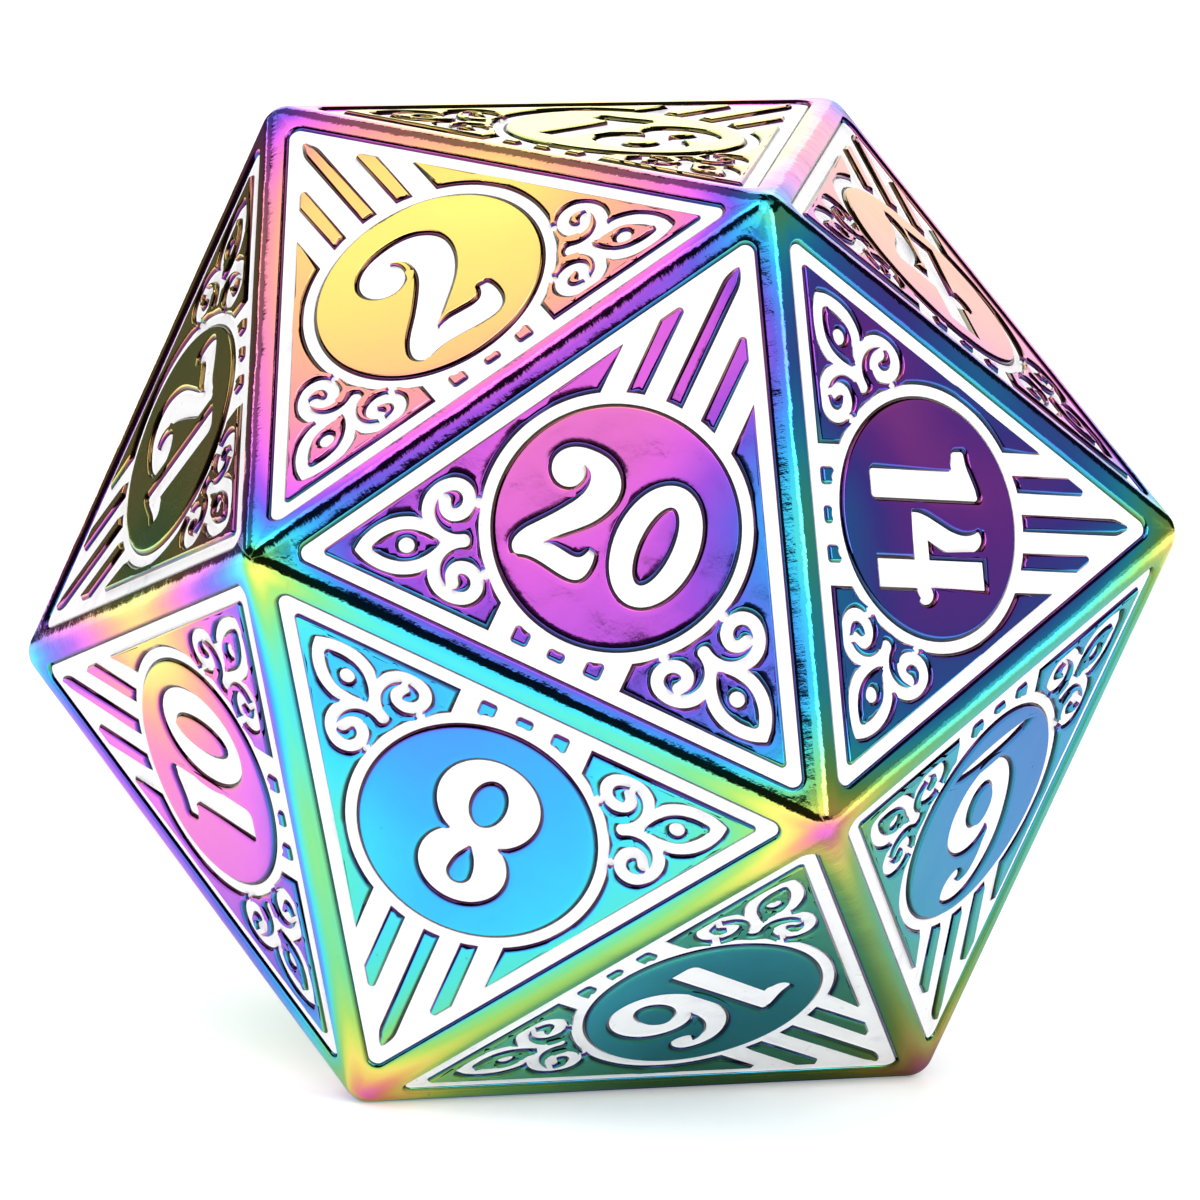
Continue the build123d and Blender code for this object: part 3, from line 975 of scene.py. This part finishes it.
def reflected_only(name, outline, graph):
    """A flat card on the floor that only reflections see."""
    card = flat_sheet(name, outline, CARD_LEVEL, graph.material)
    card.visible_camera = card.visible_diffuse = card.visible_shadow = False


def build_dark_foreground():
    """Painted shade: a dark sheet that only reflections see, standing for the unlit room in front of the
    table's edge.
    """
    graph = matt("dark_foreground", CARD_ROUGHNESS, 0.0)
    graph.shader.inputs["Base Color"].default_value = DARK_COLOUR
    outline = [
        (-DARK_HALF_WIDTH, -DARK_NEAR),
        (-DARK_HALF_WIDTH, -DARK_FAR),
        (DARK_HALF_WIDTH, -DARK_FAR),
        (DARK_HALF_WIDTH, -DARK_NEAR),
    ]
    reflected_only("dark_foreground", outline, graph)


def build_shade():
    """The soft shade beside and under the die."""
    graph = matt("shade", CARD_ROUGHNESS, 0.0)
    place = graph.object_place()
    light = 1.0
    for (x, y), (half_length, half_width), dark, (full, end) in SHADES:
        offset = graph.vector("SUBTRACT", place, (x, y, CARD_LEVEL))
        scaled = graph.vector("MULTIPLY", offset, (1 / half_length, 1 / half_width, 0))
        within = graph.spread(graph.vector("LENGTH", scaled), end, full)
        light = graph.math("MULTIPLY", light, graph.math("MULTIPLY_ADD", within, -dark, 1.0))
    colour = graph.mix(light, rgb(0, 0, 0), FLOOR_COLOUR)
    graph.feed(graph.shader.inputs["Base Color"], colour)
    reflected_only("shade", circle(SHADED_RADIUS), graph)


def aimed(obj, place, target, roll=0.0):
    """Puts an object at a place with its -Z axis on a target, rolled about that axis."""
    look = Vector(target) - Vector(place)
    turn = look.to_track_quat("-Z", "Y").to_matrix() @ Matrix.Rotation(roll, 3, "Z")
    obj.matrix_world = Matrix.Translation(place) @ turn.to_4x4()


def around(azimuth, elevation, distance):
    """A place seen from the die's middle at an azimuth and elevation in degrees."""
    a, e = math.radians(azimuth), math.radians(elevation)
    return distance * Vector((math.cos(a) * math.cos(e), math.sin(a) * math.cos(e), math.sin(e)))


def soft_light(name, direction, angular_size, brightness):
    """A flat light that faces the die."""
    data = bpy.data.lights.new(name, "AREA")
    data.shape = "RECTANGLE"
    data.size, data.size_y = (
        2 * LIGHT_DISTANCE * math.tan(math.radians(angle / 2)) for angle in angular_size
    )
    data.energy = brightness * math.pi * data.size * data.size_y
    light = bpy.data.objects.new(name, data)
    bpy.context.scene.collection.objects.link(light)
    aimed(light, around(*direction, LIGHT_DISTANCE), (0, 0, 0))
    light.visible_camera = False


def build_camera():
    data = bpy.data.cameras.new("camera")
    data.lens = LENS
    data.clip_start = NEAREST_SEEN
    camera = bpy.data.objects.new("camera", data)
    bpy.context.scene.collection.objects.link(camera)
    place = around(CAMERA_AZIMUTH, CAMERA_ELEVATION, CAMERA_DISTANCE)
    aimed(camera, place, CAMERA_TARGET, math.radians(CAMERA_ROLL))
    bpy.context.scene.camera = camera


def build_world():
    """An even light all round: dim where the metal mirrors it, and white behind the die."""
    world = bpy.data.worlds.new("studio")
    bpy.context.scene.world = world
    world.use_nodes = True
    nodes, links = world.node_tree.nodes, world.node_tree.links
    path = nodes.new("ShaderNodeLightPath")
    in_metal, seen = (nodes.new("ShaderNodeMix") for _ in range(2))
    links.new(path.outputs["Is Glossy Ray"], in_metal.inputs["Factor"])
    in_metal.inputs["A"].default_value = ROOM_LIGHT
    in_metal.inputs["B"].default_value = ROOM_SEEN_IN_METAL
    links.new(path.outputs["Is Camera Ray"], seen.inputs["Factor"])
    links.new(in_metal.outputs["Result"], seen.inputs["A"])
    seen.inputs["B"].default_value = 1.0
    links.new(seen.outputs["Result"], nodes["Background"].inputs["Strength"])
    nodes["Background"].inputs["Color"].default_value = WHITE


build_floor()
build_world()
build_camera()
for light in LIGHTS:
    soft_light(*light)
build_dark_foreground()
build_shade()
bpy.context.scene.view_settings.view_transform = "Standard"
